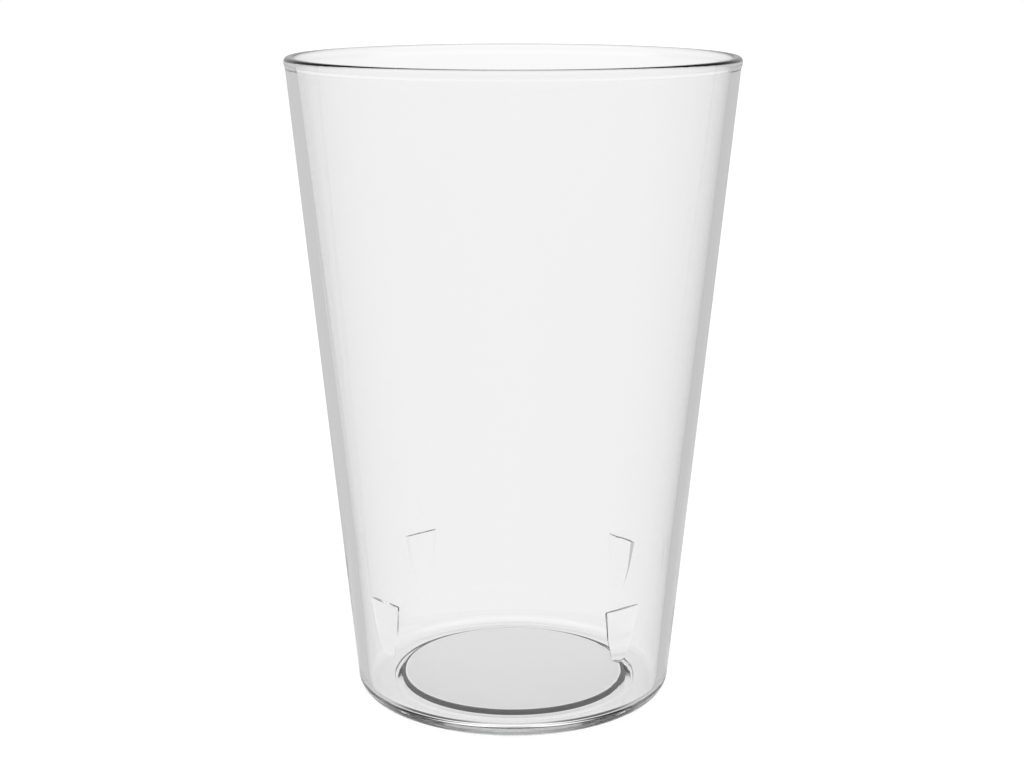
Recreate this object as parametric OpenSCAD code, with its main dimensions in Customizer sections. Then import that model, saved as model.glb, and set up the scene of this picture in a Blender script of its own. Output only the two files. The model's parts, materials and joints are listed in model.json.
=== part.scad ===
// Reusable bottom-filling pint cup, +Z up, origin at the centre of the standing face.
// Four pieces: the clear moulded cup, a steel seat ring set into its base, and a loose
// magnetic sealing disc that carries a glued face film and covers the fill port.

/* [Cup] */
// Overall height of the cup
cup_h = 134; // [125:1:150]
// Outside diameter of the conical wall, extended up to the rim
mouth_d = 92; // [88:0.5:96]
// Outside diameter of the conical wall, extended down to the standing face
base_d = 66; // [64:0.2:68]
// Wall thickness at the base, measured level
wall_t = 2.4; // [2.2:0.1:2.6]
// Wall thickness at the rim, measured level
rim_t = 2.1; // [1.9:0.1:2.4]
// Thickness of the floor from the standing face to the inside
floor_t = 2.5; // [2.5:0.1:3.2]

/* [Rim] */
// Height of the drinking bead
bead_h = 2.5; // [2:0.1:3.5]
// Height over which the wall swells out into the bead
bead_swell = 1.2; // [0.4:0.1:1.2]
// How far the bead stands out from the wall just under it
bead_proud = 0.3; // [0.25:0.05:0.6]
// Radius of the lip's two rounded edges
rim_round = 0.8; // [0.5:0.1:0.9]

/* [Base] */
// Radius of the rounded outer bottom edge
base_round = 3.7; // [2.5:0.1:4]
// Radius of the fillet between the wall and the floor inside
floor_fillet = 1.6; // [1.2:0.1:2.2]
// Inner diameter of the standing ring
foot_d = 50.8; // [50:0.2:56]
// Depth of the shallow recess under the floor
recess_h = 1.1; // [0.5:0.1:1.1]
// Level run of the recess's sloping edge
recess_run = 2.3; // [1:0.1:2.8]

/* [Stacking lugs] */
// Number of lugs around the inside
lug_count = 4; // [3:1:6]
// Height of the ledge that the next cup stands on
lug_z = 25.6; // [24:0.2:30]
// How far the ledge stands in from the wall
lug_depth = 0.8; // [0.6:0.1:1.2]
// Width of a lug's face at its ledge
lug_top_w = 7.4; // [7:0.2:10]
// Width of a lug's face half way down
lug_mid_w = 6; // [5:0.2:6.8]
// Width of a lug's face at its foot
lug_foot_w = 2.2; // [1:0.2:4]
// Slant of a lug's sides, measured from the direction straight out
lug_draft = 45; // [0:5:55]
// Lean of a lug's face towards the axis on its way down
lug_lean = 1.75; // [0:0.25:2.5]

/* [Fill port] */
// Diameter of the port that the filling nozzle enters
port_d = 28; // [24:1:30]
// Diameter of the locating pocket around the disc
pocket_d = 51.6; // [50.8:0.2:53]
// Depth of the locating pocket
pocket_h = 0.3; // [0.1:0.05:0.3]

/* [Seat ring] */
// Outside diameter of the exposed steel face
ring_d = 41; // [38:1:42]
// Thickness of the steel at its exposed face
ring_t = 0.8; // [0.7:0.1:0.9]
// Width of the thin flange that is moulded under the plastic
flange_w = 1; // [0.6:0.1:1.5]

/* [Sealing disc] */
// Diameter of the magnetic disc
disc_d = 48.4; // [48:0.2:50]
// Thickness of the magnetic disc
disc_t = 1; // [0.8:0.1:1.6]
// Radius of its rounded top edge
disc_round = 0.4; // [0.2:0.1:0.5]
// Diameter of the light face film
film_d = 47; // [40:0.2:47]
// Thickness of the face film
film_t = 0.15; // [0.1:0.05:0.2]

/* [Hidden] */
$fn = 96;
arc_steps = 10;        // straight steps in each rounded corner of a profile
slope = (mouth_d - base_d) / 2 / cup_h;   // the outer wall's run out per unit of height
slope_in = slope + (wall_t - rim_t) / cup_h;   // the same for the inner wall
taper = atan(slope);
taper_in = atan(slope_in);
bead_r = wall_outer(cup_h - bead_h) + bead_proud;
port_lip = 1;          // plastic left around the port, inside the steel ring
bed_gap = 0.05;        // the moulded-in ring's allowance to the plastic
rest_gap = 0.05;       // the disc's allowance to its seat
bevel = 0.2;           // small broken edges
port_r = port_d / 2;
ring_in_r = port_r + port_lip;
ring_r = ring_d / 2;
flange_t = ring_t / 2;
pocket_z = floor_t - pocket_h;            // the pocket's floor, which the disc lies on
disc_r = disc_d / 2;
disc_z = pocket_z + rest_gap;
lug_bury = 0.2;        // how far a lug's block reaches into the wall
lug_foot_z = lug_z - lug_depth / (slope_in - tan(lug_lean)) - 1;   // just under the face's end
lug_mid_z = (lug_z + lug_foot_z) / 2;

// Outer and inner radius of the conical wall at height z
function wall_outer(z) = base_d / 2 + slope * z;
function wall_inner(z) = base_d / 2 - wall_t + slope_in * z;

// Radius of a lug's face at height z
function lug_face(z) = wall_inner(lug_z) - lug_depth - (lug_z - z) * tan(lug_lean);

// Points on an arc of radius r about c, from angle a0 to angle a1
function arc(c, r, a0, a1) =
    [for (i = [0:arc_steps]) c + r * [cos(a0 + (a1 - a0) * i / arc_steps),
                                      sin(a0 + (a1 - a0) * i / arc_steps)]];

// Rounded outer bottom edge, tangent to the standing face and to the wall
function base_corner() =
    arc([wall_outer(base_round) - base_round / cos(taper), base_round],
        base_round, -90, -taper);

// Fillet inside, tangent to the wall and to the floor
function floor_corner() =
    arc([wall_inner(floor_t + floor_fillet) - floor_fillet / cos(taper_in),
         floor_t + floor_fillet], floor_fillet, -taper_in, -90);

// The bead: the wall swells out a little, then two rounded edges form the lip
function rim_corner() =
    concat([[wall_outer(cup_h - bead_h), cup_h - bead_h],
            [bead_r, cup_h - bead_h + bead_swell]],
           arc([bead_r - rim_round, cup_h - rim_round], rim_round, 0, 90),
           arc([wall_inner(cup_h - rim_round) + rim_round / cos(taper_in), cup_h - rim_round],
               rim_round, 90, 180 - taper_in));

// Half section of the cup, from the standing ring round to the underside recess
function cup_section() =
    concat([[foot_d / 2, 0]],
           base_corner(),
           rim_corner(),
           floor_corner(),
           [[pocket_d / 2, floor_t],
            [pocket_d / 2, pocket_z],
            [port_r, pocket_z],
            [port_r, recess_h],
            [foot_d / 2 - recess_run, recess_h]]);

// Half section of the steel ring, flange outwards, grown by g on every side
function ring_section(g) =
    [[ring_in_r - g, pocket_z],
     [ring_in_r - g, pocket_z - ring_t - g],
     [ring_r + flange_w + g, pocket_z - ring_t - g],
     [ring_r + flange_w + g, pocket_z - ring_t + flange_t + g],
     [ring_r + g, pocket_z - ring_t + flange_t + g],
     [ring_r + g, pocket_z]];

// Room for the moulded-in ring, open at the pocket's floor
module ring_bed() {
    rotate_extrude() {
        polygon(ring_section(bed_gap));
        translate([ring_in_r - bed_gap, pocket_z - bevel])
            square([ring_r - ring_in_r + 2 * bed_gap, 2 * bevel]);
    }
}

// Four corners of a lug at height z: w is its face's width there
function lug_level(w, z) =
    let (deep = lug_depth + lug_bury, run = deep * tan(lug_draft))
    [[lug_face(z), -w / 2, z],
     [lug_face(z), w / 2, z],
     [lug_face(z) + deep, w / 2 + run, z],
     [lug_face(z) + deep, -w / 2 - run, z]];

// One stacking lug: a near-upright flat face with slanting sides under a level ledge. The
// face runs out where the tapering wall meets it.
module lug() {
    polyhedron(
        points = concat(lug_level(lug_foot_w, lug_foot_z),
                        lug_level(lug_mid_w, lug_mid_z),
                        lug_level(lug_top_w, lug_z)),
        faces = [[0, 1, 2, 3], [11, 10, 9, 8],
                 [4, 5, 1, 0], [5, 6, 2, 1], [6, 7, 3, 2], [7, 4, 0, 3],
                 [8, 9, 5, 4], [9, 10, 6, 5], [10, 11, 7, 6], [11, 8, 4, 7]]);
}

// Clear moulded cup: tapering wall, bead, floor with pocket, port and recess, stacking lugs
module cup_body() {
    color([0.90, 0.92, 0.93, 0.35]) {
        difference() {
            rotate_extrude() polygon(cup_section());
            ring_bed();
        }
        for (i = [0:lug_count - 1])
            rotate([0, 0, 45 + i * 360 / lug_count])
                lug();
    }
}

// Steel ring flush with the pocket's floor, which the magnet pulls on
module seat_ring() {
    color([0.72, 0.73, 0.74])
        rotate_extrude() polygon(ring_section(0));
}

// Flexible magnetic disc, rounded at its top edge
module magnet_disc() {
    color([0.16, 0.16, 0.17])
        translate([0, 0, disc_z])
            rotate_extrude()
                polygon(concat([[0, 0], [disc_r - bevel, 0], [disc_r, bevel]],
                               arc([disc_r - disc_round, disc_t - disc_round],
                                   disc_round, 0, 90),
                               [[0, disc_t]]));
}

// Light film glued to the top of the disc
module face_film() {
    color([0.84, 0.84, 0.84])
        translate([0, 0, disc_z + disc_t])
            cylinder(d = film_d, h = film_t);
}

cup_body();
seat_ring();
magnet_disc();
face_film();
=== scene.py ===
"""Looks of the bottom-filling pint cup: a clear moulded cup with a steel seat ring in its base and a
loose magnetic disc with a light face film. Lengths are in metres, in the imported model's own frame."""

import json
import math

import bmesh
import bpy
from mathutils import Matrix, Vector


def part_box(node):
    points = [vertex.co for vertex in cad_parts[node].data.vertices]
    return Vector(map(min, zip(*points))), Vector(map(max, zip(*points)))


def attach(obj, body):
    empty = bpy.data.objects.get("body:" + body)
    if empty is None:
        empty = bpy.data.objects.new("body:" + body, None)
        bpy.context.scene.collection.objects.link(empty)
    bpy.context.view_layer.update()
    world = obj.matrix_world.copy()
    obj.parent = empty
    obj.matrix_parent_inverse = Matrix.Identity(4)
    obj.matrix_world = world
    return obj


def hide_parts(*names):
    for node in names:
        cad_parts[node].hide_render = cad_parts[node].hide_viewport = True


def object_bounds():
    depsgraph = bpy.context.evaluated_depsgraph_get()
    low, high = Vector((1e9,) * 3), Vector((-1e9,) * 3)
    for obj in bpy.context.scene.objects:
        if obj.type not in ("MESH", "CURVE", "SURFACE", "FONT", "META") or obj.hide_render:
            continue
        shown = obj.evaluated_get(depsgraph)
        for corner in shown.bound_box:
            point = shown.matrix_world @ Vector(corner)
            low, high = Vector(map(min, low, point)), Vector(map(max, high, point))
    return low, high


MM = 0.001

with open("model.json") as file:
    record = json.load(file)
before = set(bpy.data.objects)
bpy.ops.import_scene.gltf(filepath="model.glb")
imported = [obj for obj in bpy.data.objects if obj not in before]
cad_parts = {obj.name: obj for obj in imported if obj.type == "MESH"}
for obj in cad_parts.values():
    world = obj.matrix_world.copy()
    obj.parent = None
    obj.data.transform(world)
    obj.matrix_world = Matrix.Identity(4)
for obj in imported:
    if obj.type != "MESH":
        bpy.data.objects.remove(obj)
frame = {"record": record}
cad_low, cad_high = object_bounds()

# ---------------------------------------------------------------- sizes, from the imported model
mounts = {m["name"]: m for m in frame["record"]["mounts"]}
ring_low, ring_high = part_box("seat_ring")
disc_low, disc_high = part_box("magnet_disc")
film_low, film_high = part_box("face_film")

CUP_H = cad_high.z
LEDGE_Z = mounts["stack_ledge"]["pos_m"][2]
PORT_R = mounts["fill_port"]["dims"]["r_mm"] * MM
RING_TOP = ring_high.z
DISC_R = disc_high.x
FILM_R = film_high.x

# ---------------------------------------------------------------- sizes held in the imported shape
WALL_MOUTH_R = 46.0 * MM     # outer wall line at the rim's height
WALL_BASE_R = 33.0 * MM      # outer wall line at the standing face
WALL_T = 2.4 * MM            # at the base
RIM_T = 2.1 * MM             # at the rim
FLOOR_Z = 2.5 * MM           # inside of the floor
BEAD_Z = 132.1 * MM          # middle of the swell under the bead
BEAD_SWELL = 1.3 * MM        # height of the swell
BEAD_PROUD = 0.18 * MM
LIP_OUT = 0.85 * MM          # radius of the lip's outer round
LIP_IN = 0.83 * MM           # radius of its inner round
BASE_ROUND = 3.7 * MM
FLOOR_FILLET = 1.6 * MM
FOOT_IN_R = 25.4 * MM
RECESS_H = 1.1 * MM
RECESS_RUN = 2.3 * MM        # level run of the recess's sloping edge
POCKET_R = 25.8 * MM
PORT_LIP = 1.0 * MM          # plastic left between the port and the steel ring
RING_FACE_R = 20.5 * MM
RING_T = 0.8 * MM
BED_GAP = 0.05 * MM          # air between the ring and its bed

LUG_COUNT = 4
LUG_DEPTH = 0.8 * MM         # how far a ledge stands in from the wall
# (height, half the width of a lug's face there) in mm, from the ledge down
LUG_HALF = [(25.6, 3.7), (19.6, 3.05), (17.4, 2.5), (15.4, 2.0), (14.0, 1.45), (12.8, 1.1)]
LUG_DRAFT = math.radians(55)     # slant of a lug's sides, from the direction straight out
LUG_LEAN = math.radians(1.75)    # lean of a lug's face towards the axis on its way down
LUG_TAIL = 1.5 * MM          # how far the lugs' rows go on past the end of their faces
LUG_SPACING = 2 * math.pi / LUG_COUNT
FIRST_LUG = math.pi / 4      # its direction, from +X

# ---------------------------------------------------------------- softened edges and level bands
FLOOR_SOFT = 0.12 * MM       # corners of the floor, pocket and port
LEDGE_EDGE = 0.08 * MM       # edge of a lug's ledge
RING_EDGE = 0.08 * MM
DISC_EDGE = 0.2 * MM         # the disc's lower edge
DISC_ROUND = 0.25 * MM       # and its upper one
FILM_EDGE = 0.05 * MM
FLAT = 0.3 * MM              # a narrow band beside a bend, which keeps the wide face beside it level
FINE_FLAT = 0.1 * MM

# ---------------------------------------------------------------- fineness of the meshes
TURN_STEPS = 256             # columns of a turned piece
FOOT_STEPS = 22              # steps in the foot's round
BEND_STEPS = 16              # in the bead's swell, the lip's two rounds and the floor's fillet
DISC_STEPS = 12              # in the disc's upper edge
EDGE_STEPS = 5               # in its lower edge and a ledge's edge
SOFT_STEPS = 4               # in the corners of the floor and the film
LUG_ROWS = 56                # from a lug's ledge to its tail
OUTER_ROWS = [z * MM for z in (4.1, 5, 7, 20, 45, 70, 95, 120, 129, 131)]
INNER_ROWS = [z * MM for z in (132.8, 132, 130, 120, 95, 70, 50, 36, 30, 27, 26.2, 25.9)]
LOW_ROWS = [z * MM for z in (10, 7, 4.8, 4.2)]
# the columns beside a lug's face: a part of its slanting side's run, and mm past that
SIDE_COLUMNS = [(0, -0.5), (0, -0.15), (0, 0), (0.33, 0), (0.67, 0), (1, 0), (1, 0.15), (1, 0.5)]
SIDES = len(SIDE_COLUMNS)
FACE_COLUMNS = 9
LUG_COLUMNS = 2 * SIDES + FACE_COLUMNS
WALL_COLUMNS = 54            # between two lugs
SHARP_EDGE = math.radians(28)    # edges that bend more than this stay crisp
MERGE = 0.002 * MM           # vertices closer than this become one

# ---------------------------------------------------------------- the camera, fitted to the photograph
CAMERA_TURN = math.radians(4.7)      # off the line midway between the two front lugs
CAMERA_AWAY = 388.5 * MM
CAMERA_H = 156.4 * MM
CAMERA_PITCH = math.radians(13.11)
CAMERA_LENS = 66.86
CAMERA_SENSOR = 36
CAMERA_SHIFT = -0.001074             # of the picture's width
CAMERA_NEAR = 10 * MM

# ---------------------------------------------------------------- the studio
# Grey levels against the upward part of a direction: the room that the walls mirror, to both sides
# behind the cup, straight behind it and on the camera's side, then the backdrop. The last list goes
# over the sideways part and dims the room.
ROOM_BACK = [(-1, 0.1), (-0.75, 0.1), (-0.62, 0.6), (0, 0.6), (0.22, 0.57), (0.38, 0.2),
             (0.65, 0.0), (0.95, 0.0), (1, 0.1)]
ROOM_MIDDLE = [(-1, 0.7), (-0.9, 1.2), (-0.6, 1.3), (-0.4, 0.9), (-0.25, 0.62), (0, 0.6), (0.25, 0.57),
               (0.45, 0.4), (0.65, 0.1), (0.95, 0.05), (1, 0.25)]
ROOM_FRONT = [(-1, 0.8), (-0.93, 0.3), (-0.75, 0.4), (-0.5, 0.6), (-0.2, 0.6), (0, 0.65), (0.22, 0.8),
              (0.42, 1.3), (0.6, 1.5), (0.85, 1.3), (0.95, 0.9), (1, 0.25)]
BACKDROP = [(-1, 0.75), (-0.8, 0.75), (-0.6, 1), (1, 1)]
ROOM_SIDE = [(-1, 1.0), (0, 1.0), (1, 0.9)]
MIDDLE_TO_BACK = (0.1, 0.3)          # where the middle goes over to the back, by the sideways part
BACK_TO_FRONT = (0.25, -0.25)        # and the back to the front, by the part away from the camera
FLOOR_HALF = 4
FLOOR_DROP = 0.02 * MM               # keeps the floor just clear of the standing face
FLOOR_GLOW = 0.69
BOUNCES = 24


# ---------------------------------------------------------------- outlines
# the walls' run out per unit of height, outside and inside, and the angles that go with them
SLOPE = (WALL_MOUTH_R - WALL_BASE_R) / CUP_H
SLOPE_IN = SLOPE + (WALL_T - RIM_T) / CUP_H
TAPER = math.atan(SLOPE)
TAPER_IN = math.atan(SLOPE_IN)


def outer_r(z):
    return WALL_BASE_R + SLOPE * z


def inner_r(z):
    return WALL_BASE_R - WALL_T + SLOPE_IN * z


def lug_face_r(z):
    return inner_r(LEDGE_Z) - LUG_DEPTH - (LEDGE_Z - z) * math.tan(LUG_LEAN)


def arc(cr, cz, radius, start, end, steps):
    """Points (r, z) on an arc about (cr, cz), angles in radians."""
    return [(cr + radius * math.cos(start + (end - start) * i / steps),
             cz + radius * math.sin(start + (end - start) * i / steps))
            for i in range(steps + 1)]


# ---------------------------------------------------------------- mesh helpers
def finish_mesh(name, bm):
    """Closes up a bmesh as a smooth-shaded object with crisp sharp edges."""
    bmesh.ops.remove_doubles(bm, verts=bm.verts, dist=MERGE)
    bmesh.ops.dissolve_degenerate(bm, edges=bm.edges, dist=MERGE / 2)
    bmesh.ops.recalc_face_normals(bm, faces=bm.faces)
    mesh = bpy.data.meshes.new(name)
    bm.to_mesh(mesh)
    bm.free()
    mesh.polygons.foreach_set("use_smooth", [True] * len(mesh.polygons))
    mesh.set_sharp_from_angle(angle=SHARP_EDGE)
    obj = bpy.data.objects.new(name, mesh)
    bpy.context.scene.collection.objects.link(obj)
    return obj


def lathe(name, profile, closed=True):
    """Turns a half section of (r, z) points about Z. A point on the axis becomes one vertex."""
    bm = bmesh.new()
    turns = [2 * math.pi * i / TURN_STEPS for i in range(TURN_STEPS)]
    rows = []
    for r, z in profile:
        if r == 0:
            rows.append([bm.verts.new((0, 0, z))] * TURN_STEPS)
        else:
            rows.append([bm.verts.new((r * math.cos(a), r * math.sin(a), z)) for a in turns])
    next_rows = rows[1:] + rows[:1] if closed else rows[1:]
    for low, high in zip(rows, next_rows):
        for i in range(TURN_STEPS):
            j = (i + 1) % TURN_STEPS
            corners = []
            for vert in (low[i], low[j], high[j], high[i]):
                if vert not in corners:
                    corners.append(vert)
            if len(corners) > 2:
                bm.faces.new(corners)
    return finish_mesh(name, bm)


# ---------------------------------------------------------------- the clear cup
def cup_outside():
    """Half section from the recess's edge out round the foot, up the wall and over the rim."""
    foot = arc(outer_r(BASE_ROUND) - BASE_ROUND / math.cos(TAPER), BASE_ROUND, BASE_ROUND,
               -math.pi / 2, -TAPER, FOOT_STEPS)
    wall = [(outer_r(z), z) for z in OUTER_ROWS]
    bead = []
    for i in range(BEND_STEPS + 1):
        part = i / BEND_STEPS
        z = BEAD_Z + (part - 0.5) * BEAD_SWELL
        bead.append((outer_r(z) + BEAD_PROUD * part ** 2 * (3 - 2 * part), z))
    top_out = bead[-1][0] - LIP_OUT
    top_in = inner_r(CUP_H - LIP_IN) + LIP_IN / math.cos(TAPER_IN)
    rim = arc(top_out, CUP_H - LIP_OUT, LIP_OUT, 0, math.pi / 2, BEND_STEPS)
    rim += arc(top_in, CUP_H - LIP_IN, LIP_IN, math.pi / 2, math.pi - TAPER_IN, BEND_STEPS)
    return [(FOOT_IN_R, 0), (FOOT_IN_R + FLAT, 0)] + foot + wall + bead + rim


def cup_floor():
    """Half section from the inner wall's foot in over the floor, through the port and out underneath."""
    fillet = arc(inner_r(FLOOR_Z + FLOOR_FILLET) - FLOOR_FILLET / math.cos(TAPER_IN),
                 FLOOR_Z + FLOOR_FILLET, FLOOR_FILLET, -TAPER_IN, -math.pi / 2, BEND_STEPS)
    floor = [(fillet[-1][0] - FLAT, FLOOR_Z), (POCKET_R + FLAT, FLOOR_Z)]
    soft = FLOOR_SOFT
    pocket = arc(POCKET_R + soft, FLOOR_Z - soft, soft, math.pi / 2, math.pi, SOFT_STEPS)
    pocket += arc(POCKET_R - soft, RING_TOP + soft, soft, 0, -math.pi / 2, SOFT_STEPS)
    bed_in, bed_out = PORT_R + PORT_LIP - BED_GAP, RING_FACE_R + BED_GAP
    bed_z = RING_TOP - RING_T - BED_GAP
    flange_r, flange_z = ring_high.x + BED_GAP, RING_TOP - RING_T / 2 + BED_GAP
    bed = [(bed_out + FINE_FLAT, RING_TOP), (bed_out, RING_TOP), (bed_out, flange_z),
           (flange_r, flange_z), (flange_r, bed_z), (bed_in, bed_z), (bed_in, RING_TOP)]
    port = [(PORT_R + soft, RING_TOP), (PORT_R, RING_TOP - soft),
            (PORT_R, RECESS_H + soft), (PORT_R + soft, RECESS_H)]
    recess_r = FOOT_IN_R - RECESS_RUN
    return fillet + floor + pocket + bed + port + [(recess_r - FLAT, RECESS_H), (recess_r, RECESS_H)]


def lug_half(z):
    """Half of a lug face's width at height z."""
    levels = [(h * MM, w * MM) for h, w in LUG_HALF]
    if z >= levels[0][0]:
        return levels[0][1]
    for (z1, w1), (z0, w0) in zip(levels, levels[1:]):
        if z >= z0:
            return w0 + (w1 - w0) * (z - z0) / (z1 - z0)
    return levels[-1][1]


def lug_run(z):
    """How far a lug's slanting side runs out past its face before it meets the wall."""
    half, run = lug_half(z), 0
    for _ in range(3):       # the wall curves, so each round starts from the last one's run
        wall = math.sqrt(inner_r(z) ** 2 - (half + run) ** 2)
        run = max(0, wall - lug_face_r(z)) * math.tan(LUG_DRAFT)
    return run


def lug_surface(across, z):
    """Distance from the axis, along a lug's own direction, of the wall with its lug at height z."""
    wall = math.sqrt(inner_r(z) ** 2 - across ** 2)
    face = lug_face_r(z)
    return min(wall, max(face, face + (abs(across) - lug_half(z)) / math.tan(LUG_DRAFT)))


def side_column(i, z):
    """How far column i beside a lug's face is from the lug's middle at height z."""
    run_part, past = SIDE_COLUMNS[i]
    return lug_half(z) + run_part * lug_run(z) + past * MM


def cup_spot(column, r, z, lug=False):
    """Where a column stands at height z, on radius r or on its lug: columns follow the lugs' sides."""
    sector, k = divmod(column, LUG_COLUMNS + WALL_COLUMNS)
    if k < LUG_COLUMNS:
        if k < SIDES:
            y = -side_column(SIDES - 1 - k, z)
        elif k < SIDES + FACE_COLUMNS:
            y = side_column(0, z) * (2 * (k - SIDES + 1) / (FACE_COLUMNS + 1) - 1)
        else:
            y = side_column(k - SIDES - FACE_COLUMNS, z)
        x = lug_surface(y, z) if lug else math.sqrt(r * r - y * y)
    else:
        edge = math.asin(side_column(SIDES - 1, z) / r)
        turn = edge + (LUG_SPACING - 2 * edge) * (k - LUG_COLUMNS + 1) / (WALL_COLUMNS + 1)
        x, y = r * math.cos(turn), r * math.sin(turn)
    middle = FIRST_LUG + sector * LUG_SPACING
    cos, sin = math.cos(middle), math.sin(middle)
    return x * cos - y * sin, x * sin + y * cos


def make_cup():
    """The whole cup as one closed mesh, with the stacking lugs standing out of the inner wall."""
    bm = bmesh.new()
    columns = range(LUG_COUNT * (LUG_COLUMNS + WALL_COLUMNS))

    def row(r, z, lug=False):
        return [bm.verts.new((*cup_spot(c, r, z, lug), z)) for c in columns]

    def ledge_row(out, down):
        """A row on a ledge: out is its distance behind the face's edge, down its depth under it."""
        made = []
        for c in columns:
            wall = Vector(cup_spot(c, inner_r(LEDGE_Z), LEDGE_Z))
            block = Vector(cup_spot(c, inner_r(LEDGE_Z), LEDGE_Z, lug=True))
            deep = (wall - block).length
            part = min(1, deep / (2 * LEDGE_EDGE))       # a ledge too narrow for the round gets less
            spot = block + (wall - block) * min(1, out * part / max(deep, 1e-9))
            made.append(bm.verts.new((*spot, LEDGE_Z - down * part)))
        return made

    rows = [row(r, z) for r, z in cup_outside()]
    rows += [row(inner_r(z), z) for z in INNER_ROWS + [LEDGE_Z]]
    for i in range(EDGE_STEPS + 1):
        angle = math.pi / 2 * i / EDGE_STEPS
        rows.append(ledge_row(LEDGE_EDGE * (1 - math.sin(angle)), LEDGE_EDGE * (1 - math.cos(angle))))
    face_z = LEDGE_Z - 1.5 * LEDGE_EDGE      # the first row is clear of the ledge's round
    tail_z = LEDGE_Z - LUG_DEPTH / (SLOPE_IN - math.tan(LUG_LEAN)) - LUG_TAIL
    for i in range(LUG_ROWS + 1):
        z = face_z + (tail_z - face_z) * i / LUG_ROWS
        rows.append(row(inner_r(z), z, lug=True))
    rows += [row(inner_r(z), z) for z in LOW_ROWS]
    rows += [row(r, z) for r, z in cup_floor()]
    for low, high in zip(rows, rows[1:] + rows[:1]):
        for c in columns:
            d = (c + 1) % len(columns)
            bm.faces.new((low[c], low[d], high[d], high[c]))
    return finish_mesh("cup_clear", bm)


cup = make_cup()
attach(cup, "cup")
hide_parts("cup_body")


# ---------------------------------------------------------------- the steel seat ring
def make_ring():
    """The steel ring: its face is level with the pocket's floor, its flange is under the plastic."""
    edge = RING_EDGE
    inner, outer, face = PORT_R + PORT_LIP, ring_high.x, RING_FACE_R
    bottom, step, top = ring_low.z, RING_TOP - RING_T / 2, RING_TOP
    profile = [(inner, bottom + edge), (inner + edge, bottom), (outer - edge, bottom),
               (outer, bottom + edge), (outer, step - edge), (outer - edge, step),
               (face, step), (face, top - edge), (face - edge, top), (inner + edge, top),
               (inner, top - edge)]
    return lathe("seat_ring_steel", profile)


ring = make_ring()
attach(ring, "cup")
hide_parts("seat_ring")


# ---------------------------------------------------------------- the sealing disc and its film
def make_disc():
    """The flexible magnetic disc, with both edges rounded."""
    low, high = disc_low.z, disc_high.z
    profile = [(0, low), (DISC_R - 2 * DISC_EDGE, low)]
    profile += arc(DISC_R - DISC_EDGE, low + DISC_EDGE, DISC_EDGE, -math.pi / 2, 0, EDGE_STEPS)
    profile += arc(DISC_R - DISC_ROUND, high - DISC_ROUND, DISC_ROUND, 0, math.pi / 2, DISC_STEPS)
    profile += [(DISC_R - DISC_ROUND - FINE_FLAT, high), (0, high)]
    return lathe("magnet_disc_core", profile, closed=False)


def make_film():
    """The thin film glued to the disc's face."""
    low, high = film_low.z, film_high.z
    profile = [(0, low), (FILM_R, low)]
    profile += arc(FILM_R - FILM_EDGE, high - FILM_EDGE, FILM_EDGE, 0, math.pi / 2, SOFT_STEPS)
    profile += [(FILM_R - FLAT, high), (0, high)]
    return lathe("disc_face_film", profile, closed=False)


core = make_disc()
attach(core, "sealing_disc")
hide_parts("magnet_disc")

film = make_film()
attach(film, "sealing_disc")
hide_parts("face_film")


# ---------------------------------------------------------------- node helpers
def grey(level):
    return (level, level, level, 1)


def map_range(tree, value, source, target=(0, 1), smooth=False):
    """Maps a value from one range onto another, and holds it at both ends."""
    node = tree.nodes.new("ShaderNodeMapRange")
    if smooth:
        node.interpolation_type = "SMOOTHSTEP"
    for name, number in zip(("From Min", "From Max", "To Min", "To Max"), (*source, *target)):
        node.inputs[name].default_value = number
    tree.links.new(value, node.inputs["Value"])
    return node.outputs["Result"]


def mixed(tree, part, first, second, blend="MIX"):
    """Goes from the first colour to the second, or to their product, as part goes from 0 to 1."""
    node = tree.nodes.new("ShaderNodeMixRGB")
    node.blend_type = blend
    for name, given in (("Fac", part), ("Color1", first), ("Color2", second)):
        if isinstance(given, bpy.types.NodeSocket):
            tree.links.new(given, node.inputs[name])
        else:
            node.inputs[name].default_value = given
    return node.outputs["Color"]


def grey_ramp(tree, value, points):
    """Grey levels over a value from -1 to 1: points are (value, level)."""
    node = tree.nodes.new("ShaderNodeValToRGB")
    bars = node.color_ramp.elements
    while len(bars) < len(points):
        bars.new(0.5)
    for bar, (place, level) in zip(bars, points):
        bar.position = (place + 1) / 2
        bar.color = grey(level)
    tree.links.new(map_range(tree, value, (-1, 1)), node.inputs["Fac"])
    return node.outputs["Color"]


# ---------------------------------------------------------------- materials
def new_material(name):
    """A material, its node tree and its main shader."""
    material = bpy.data.materials.new(name)
    material.use_nodes = True
    tree = material.node_tree
    return material, tree, tree.nodes["Principled BSDF"]


def noise_bump(tree, shader, scale, strength, height, detail):
    """A fine uneven surface, from the object's own coordinates. Gives back the noise."""
    coords = tree.nodes.new("ShaderNodeTexCoord")
    noise = tree.nodes.new("ShaderNodeTexNoise")
    bump = tree.nodes.new("ShaderNodeBump")
    noise.inputs["Scale"].default_value = scale
    noise.inputs["Detail"].default_value = detail
    bump.inputs["Strength"].default_value = strength
    bump.inputs["Distance"].default_value = height
    tree.links.new(coords.outputs["Object"], noise.inputs["Vector"])
    tree.links.new(noise.outputs["Fac"], bump.inputs["Height"])
    tree.links.new(bump.outputs["Normal"], shader.inputs["Normal"])
    return noise.outputs["Fac"]


def uneven_gloss(tree, shader, noise, low, high):
    """A roughness that wanders between two values with the noise."""
    tree.links.new(map_range(tree, noise, (0, 1), (low, high)), shader.inputs["Roughness"])


def object_coordinates(tree):
    """The sockets X, Y and Z of a point in the object's own coordinates."""
    coords = tree.nodes.new("ShaderNodeTexCoord")
    split = tree.nodes.new("ShaderNodeSeparateXYZ")
    tree.links.new(coords.outputs["Object"], split.inputs["Vector"])
    return split.outputs


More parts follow.
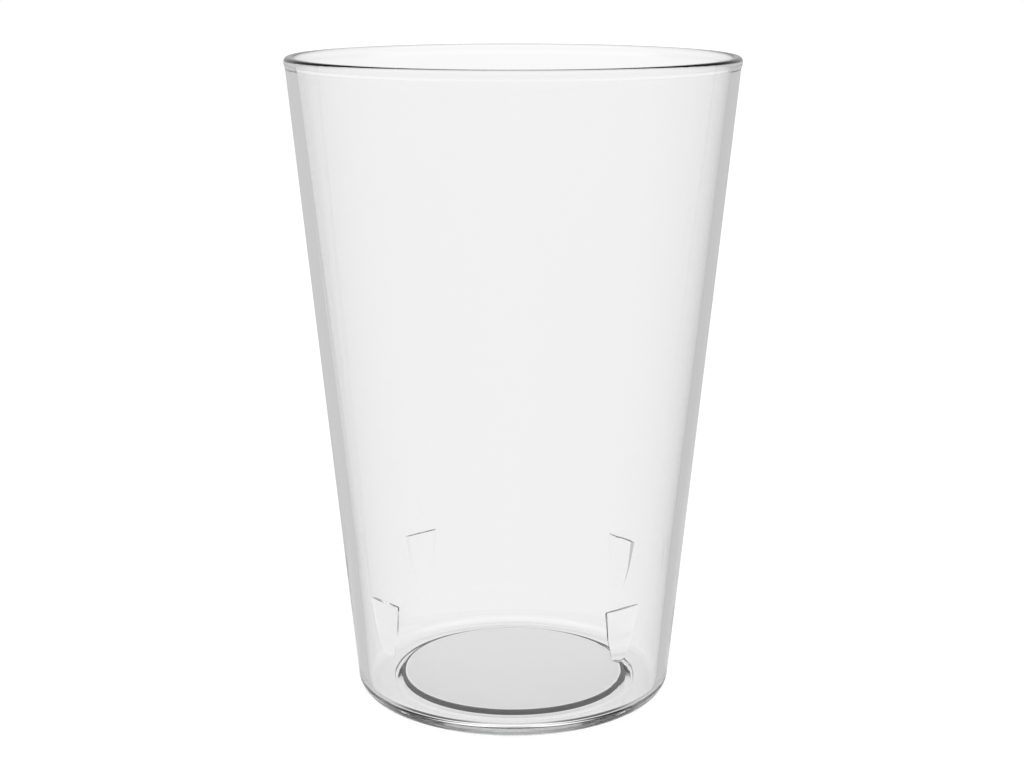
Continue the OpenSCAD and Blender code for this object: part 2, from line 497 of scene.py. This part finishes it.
def clear_plastic():
    material, tree, shader = new_material("clear_plastic")
    shader.inputs["Base Color"].default_value = grey(0.97)
    shader.inputs["Roughness"].default_value = 0.0
    shader.inputs["IOR"].default_value = 1.52
    shader.inputs["Transmission Weight"].default_value = 1.0
    # the faint waviness of a moulded face
    noise_bump(tree, shader, scale=150, strength=0.05, height=0.01 * MM, detail=1)
    return material


def seat_steel():
    material, tree, shader = new_material("seat_steel")
    shader.inputs["Base Color"].default_value = (0.62, 0.62, 0.63, 1)
    shader.inputs["Metallic"].default_value = 1.0
    noise = noise_bump(tree, shader, scale=900, strength=0.15, height=0.02 * MM, detail=4)
    uneven_gloss(tree, shader, noise, low=0.22, high=0.38)
    return material


def magnet_rubber():
    """Dark rubber with a painted pale underside: painted light in place of the lit ground under the cup,
    which shows as the light band low in the clear foot.
    """
    material, tree, shader = new_material("magnet_rubber")
    painted_light_pale, dark = grey(0.8), (0.08, 0.08, 0.082, 1)
    # the pale band at the very bottom of the disc is painted light, not a coat that the rubber has
    painted_light_band = (disc_low.z + 0.02 * MM, disc_low.z + 0.06 * MM)
    above = map_range(tree, object_coordinates(tree)["Z"], painted_light_band)
    tree.links.new(mixed(tree, above, painted_light_pale, dark), shader.inputs["Base Color"])
    noise = noise_bump(tree, shader, scale=1500, strength=0.1, height=0.02 * MM, detail=3)
    uneven_gloss(tree, shader, noise, low=0.25, high=0.4)
    return material


def printed_film():
    """A grey print with a near-white band just inside the edge: a painted highlight along the film's
    rounded edge.
    """
    material, tree, shader = new_material("face_film")
    # the near-white band close to the edge is a painted highlight of the rounded edge, not print
    highlight_start = (FILM_R - 0.34 * MM, FILM_R - 0.27 * MM)
    place = object_coordinates(tree)
    flat = tree.nodes.new("ShaderNodeCombineXYZ")
    radius = tree.nodes.new("ShaderNodeVectorMath")
    radius.operation = "LENGTH"
    tree.links.new(place["X"], flat.inputs["X"])
    tree.links.new(place["Y"], flat.inputs["Y"])
    tree.links.new(flat.outputs["Vector"], radius.inputs[0])
    painted_highlight = map_range(tree, radius.outputs["Value"], highlight_start)
    tree.links.new(mixed(tree, painted_highlight, grey(0.72), grey(0.95)), shader.inputs["Base Color"])
    noise = noise_bump(tree, shader, scale=1200, strength=0.05, height=0.01 * MM, detail=3)
    uneven_gloss(tree, shader, noise, low=0.35, high=0.45)
    return material


def glowing_floor():
    """A matt grey that glows: with the studio's light on it, the ground comes out white."""
    material, tree, shader = new_material("studio_floor")
    shader.inputs["Base Color"].default_value = grey(0.4)
    shader.inputs["Roughness"].default_value = 1.0
    shader.inputs["Specular IOR Level"].default_value = 0.0
    shader.inputs["Emission Color"].default_value = grey(1)
    shader.inputs["Emission Strength"].default_value = FLOOR_GLOW
    return material


cup.data.materials.append(clear_plastic())
ring.data.materials.append(seat_steel())
core.data.materials.append(magnet_rubber())
film.data.materials.append(printed_film())
cup.visible_shadow = False       # clear plastic keeps hardly any light from what is under it


# ---------------------------------------------------------------- stage: floor, studio, camera
def make_floor():
    """A wide floor that isn't seen through the clear plastic or mirrored in it."""
    mesh = bpy.data.meshes.new("studio_floor")
    corners = [(x * FLOOR_HALF, y * FLOOR_HALF, -FLOOR_DROP)
               for x, y in ((-1, -1), (1, -1), (1, 1), (-1, 1))]
    mesh.from_pydata(corners, [], [(0, 1, 2, 3)])
    mesh.materials.append(glowing_floor())
    floor = bpy.data.objects.new("studio_floor", mesh)
    bpy.context.scene.collection.objects.link(floor)
    floor.visible_transmission = False
    floor.visible_glossy = False


def make_studio():
    """A white backdrop, and a grey room with a soft box above the camera, which the walls mirror."""
    world = bpy.data.worlds.new("studio")
    world.use_nodes = True
    tree = world.node_tree
    tree.nodes.clear()
    coords = tree.nodes.new("ShaderNodeTexCoord")
    turn = tree.nodes.new("ShaderNodeMapping")
    turn.inputs["Rotation"].default_value = (0, 0, -CAMERA_TURN)
    split = tree.nodes.new("ShaderNodeSeparateXYZ")
    tree.links.new(coords.outputs["Generated"], turn.inputs["Vector"])
    tree.links.new(turn.outputs["Vector"], split.inputs["Vector"])
    sideways, away, up = (split.outputs[axis] for axis in "XYZ")

    aside = tree.nodes.new("ShaderNodeMath")
    aside.operation = "ABSOLUTE"
    tree.links.new(sideways, aside.inputs[0])
    to_back = map_range(tree, aside.outputs[0], MIDDLE_TO_BACK, smooth=True)
    to_front = map_range(tree, away, BACK_TO_FRONT, smooth=True)
    behind = mixed(tree, to_back, grey_ramp(tree, up, ROOM_MIDDLE), grey_ramp(tree, up, ROOM_BACK))
    around = mixed(tree, to_front, behind, grey_ramp(tree, up, ROOM_FRONT))
    room = mixed(tree, 1.0, around, grey_ramp(tree, sideways, ROOM_SIDE), "MULTIPLY")

    seen = tree.nodes.new("ShaderNodeBackground")
    mirror = tree.nodes.new("ShaderNodeBackground")
    tree.links.new(grey_ramp(tree, up, BACKDROP), seen.inputs["Color"])
    tree.links.new(room, mirror.inputs["Color"])
    path = tree.nodes.new("ShaderNodeLightPath")
    mirrored = tree.nodes.new("ShaderNodeMath")
    mirrored.operation = "GREATER_THAN"
    mirrored.inputs[1].default_value = 0.5
    mix = tree.nodes.new("ShaderNodeMixShader")
    out = tree.nodes.new("ShaderNodeOutputWorld")
    tree.links.new(path.outputs["Glossy Depth"], mirrored.inputs[0])
    tree.links.new(mirrored.outputs[0], mix.inputs["Fac"])
    tree.links.new(seen.outputs[0], mix.inputs[1])
    tree.links.new(mirror.outputs[0], mix.inputs[2])
    tree.links.new(mix.outputs[0], out.inputs["Surface"])
    bpy.context.scene.world = world


def make_camera():
    """The camera in front of the cup, which looks down on it between two lugs."""
    data = bpy.data.cameras.new("camera")
    data.lens = CAMERA_LENS
    data.sensor_width = CAMERA_SENSOR
    data.clip_start = CAMERA_NEAR
    data.shift_x = CAMERA_SHIFT
    camera = bpy.data.objects.new("camera", data)
    camera.location = (CAMERA_AWAY * math.sin(CAMERA_TURN), -CAMERA_AWAY * math.cos(CAMERA_TURN), CAMERA_H)
    camera.rotation_euler = (math.pi / 2 - CAMERA_PITCH, 0, CAMERA_TURN)
    bpy.context.scene.collection.objects.link(camera)
    bpy.context.scene.camera = camera


make_floor()
make_studio()
make_camera()

# light passes many clear faces here, and the bright lines in them stay sharp
scene = bpy.context.scene
scene.view_settings.view_transform = "Standard"
scene.cycles.blur_glossy = 0.0
scene.cycles.max_bounces = BOUNCES
scene.cycles.transmission_bounces = BOUNCES
scene.cycles.glossy_bounces = BOUNCES
scene.cycles.sample_clamp_indirect = 0.0
